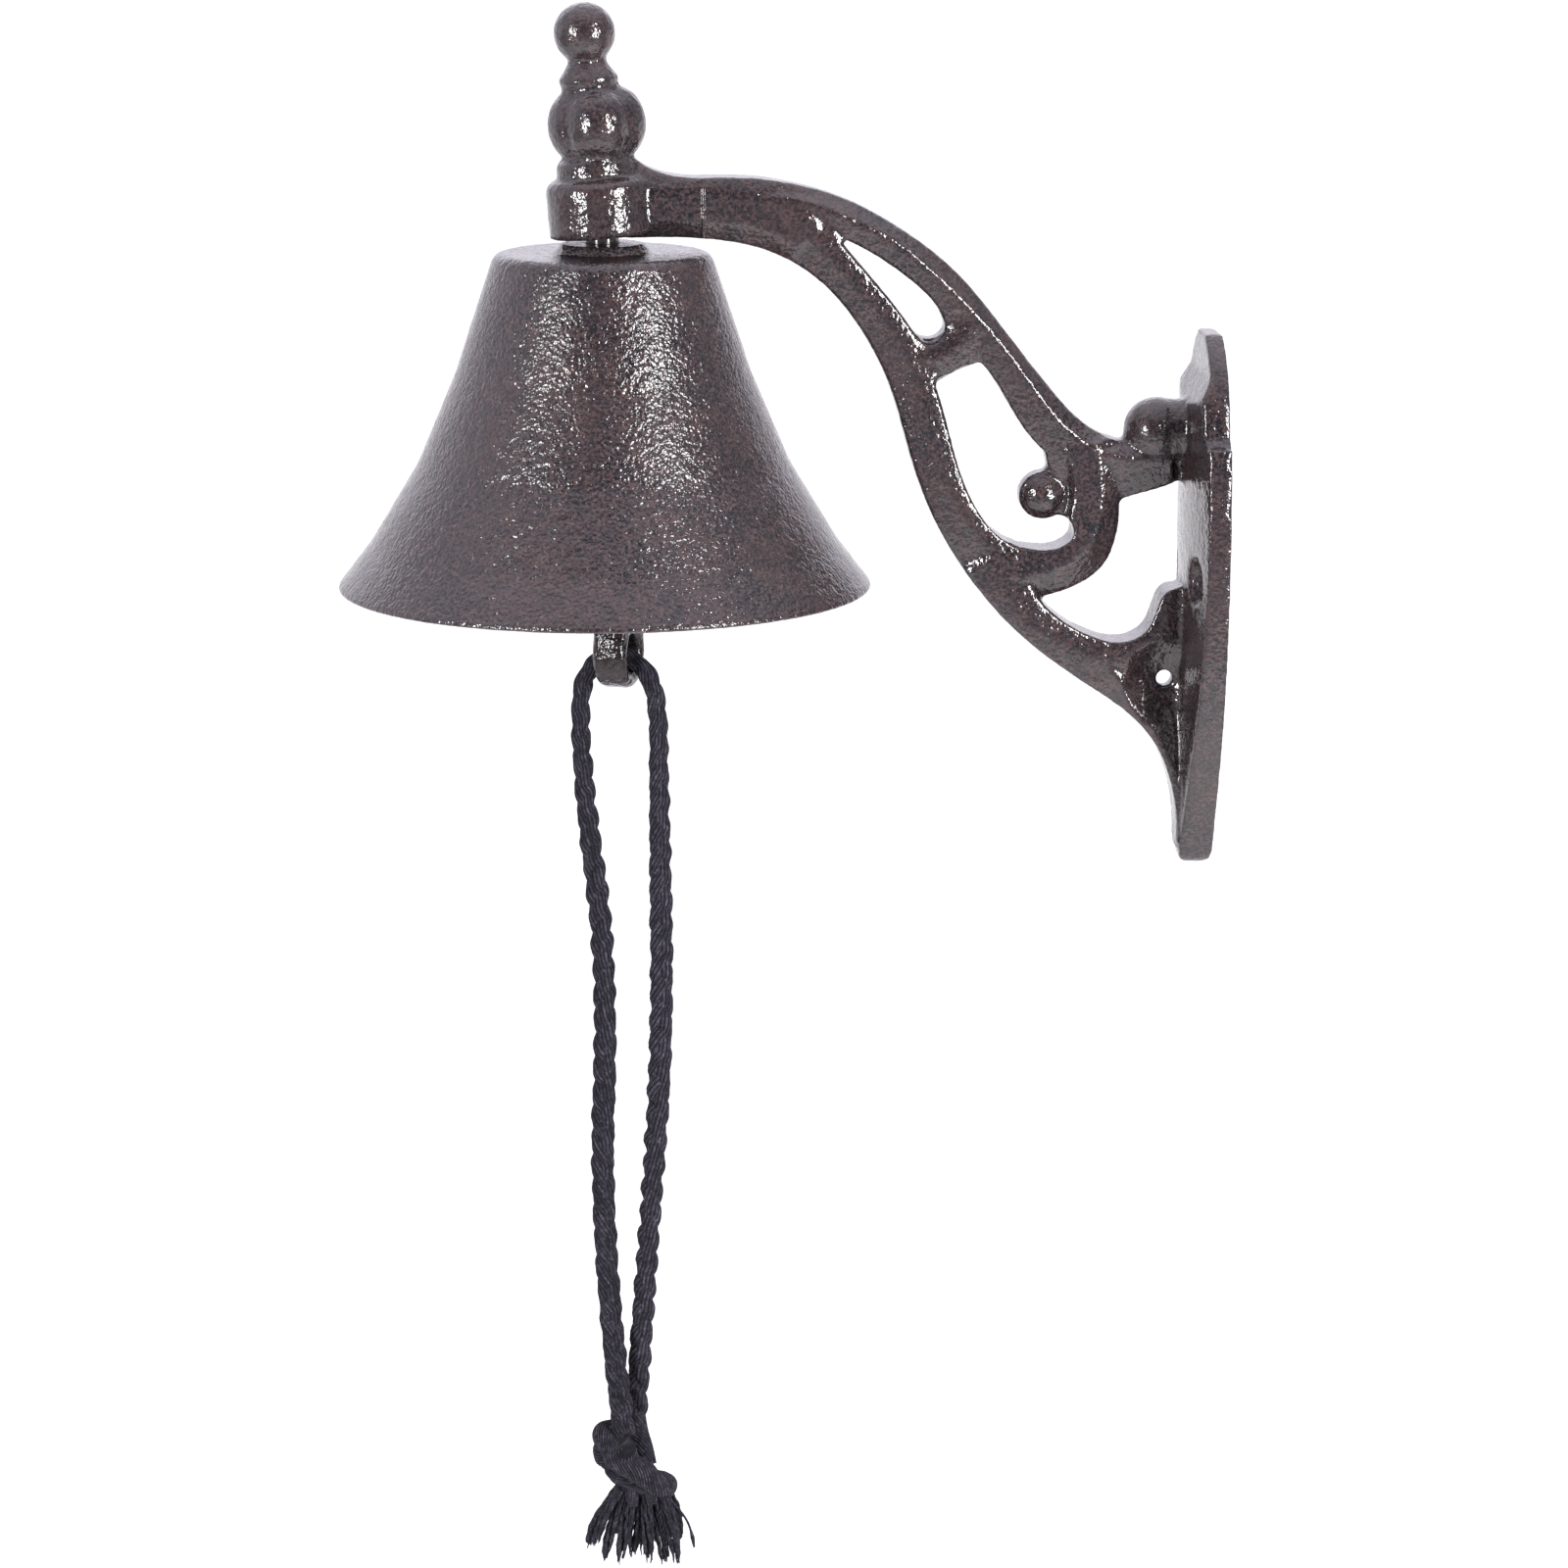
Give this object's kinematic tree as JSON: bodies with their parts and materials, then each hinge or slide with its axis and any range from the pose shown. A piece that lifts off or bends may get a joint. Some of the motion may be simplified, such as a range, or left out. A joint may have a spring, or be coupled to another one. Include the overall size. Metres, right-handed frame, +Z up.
{
  "type": "wall-mounted bell with bracket and pull cord",
  "caption": "Flared bell hung under a scrolled wall bracket with a ball finial, rung by a swinging clapper with a knotted pull cord.",
  "frame": {"origin": "centre line of the wall plate, on its back face, 3 mm below the two screw holes", "axes": "+Z up, +X out of the back face into the wall, so the arm and bell reach toward -X"},
  "size_m": [0.1885, 0.1146, 0.3439],
  "materials": {
    "painted_iron": "glossy hammered brown paint",
    "hanger_steel": "glossy brown paint",
    "cord_cotton": "braided cotton"
  },
  "bodies": {
    "mount": {"bracket": "painted_iron", "hanger": "hanger_steel"},
    "bell": {"bell": "painted_iron"},
    "link": {"link": "hanger_steel"},
    "clapper": {"clapper": "painted_iron"},
    "cord": {"cord": "cord_cotton", "cord_knot": "cord_cotton", "cord_tassel": "cord_cotton"}
  },
  "joints": [
    {"name": "bell_swivel", "type": "hinge", "parent": "mount", "child": "bell", "pos_m": [-0.1312, 0, 0.0727], "axis": [0, 0, 1], "continuous": true},
    {"name": "clapper_swing", "type": "hinge", "parent": "mount", "child": "link", "pos_m": [-0.1312, 0, 0.0539], "axis": [0, 1, 0], "range_deg": [-33, 33]},
    {"name": "clapper_sway", "type": "hinge", "parent": "link", "child": "clapper", "pos_m": [-0.1312, 0, 0.0446], "axis": [1, 0, 0], "range_deg": [-8, 8]},
    {"name": "cord_swing", "type": "hinge", "parent": "clapper", "child": "cord", "pos_m": [-0.1284, 0, -0.0141], "axis": [0.9397, -0.342, 0], "range_deg": [-24, 24]}
  ]
}
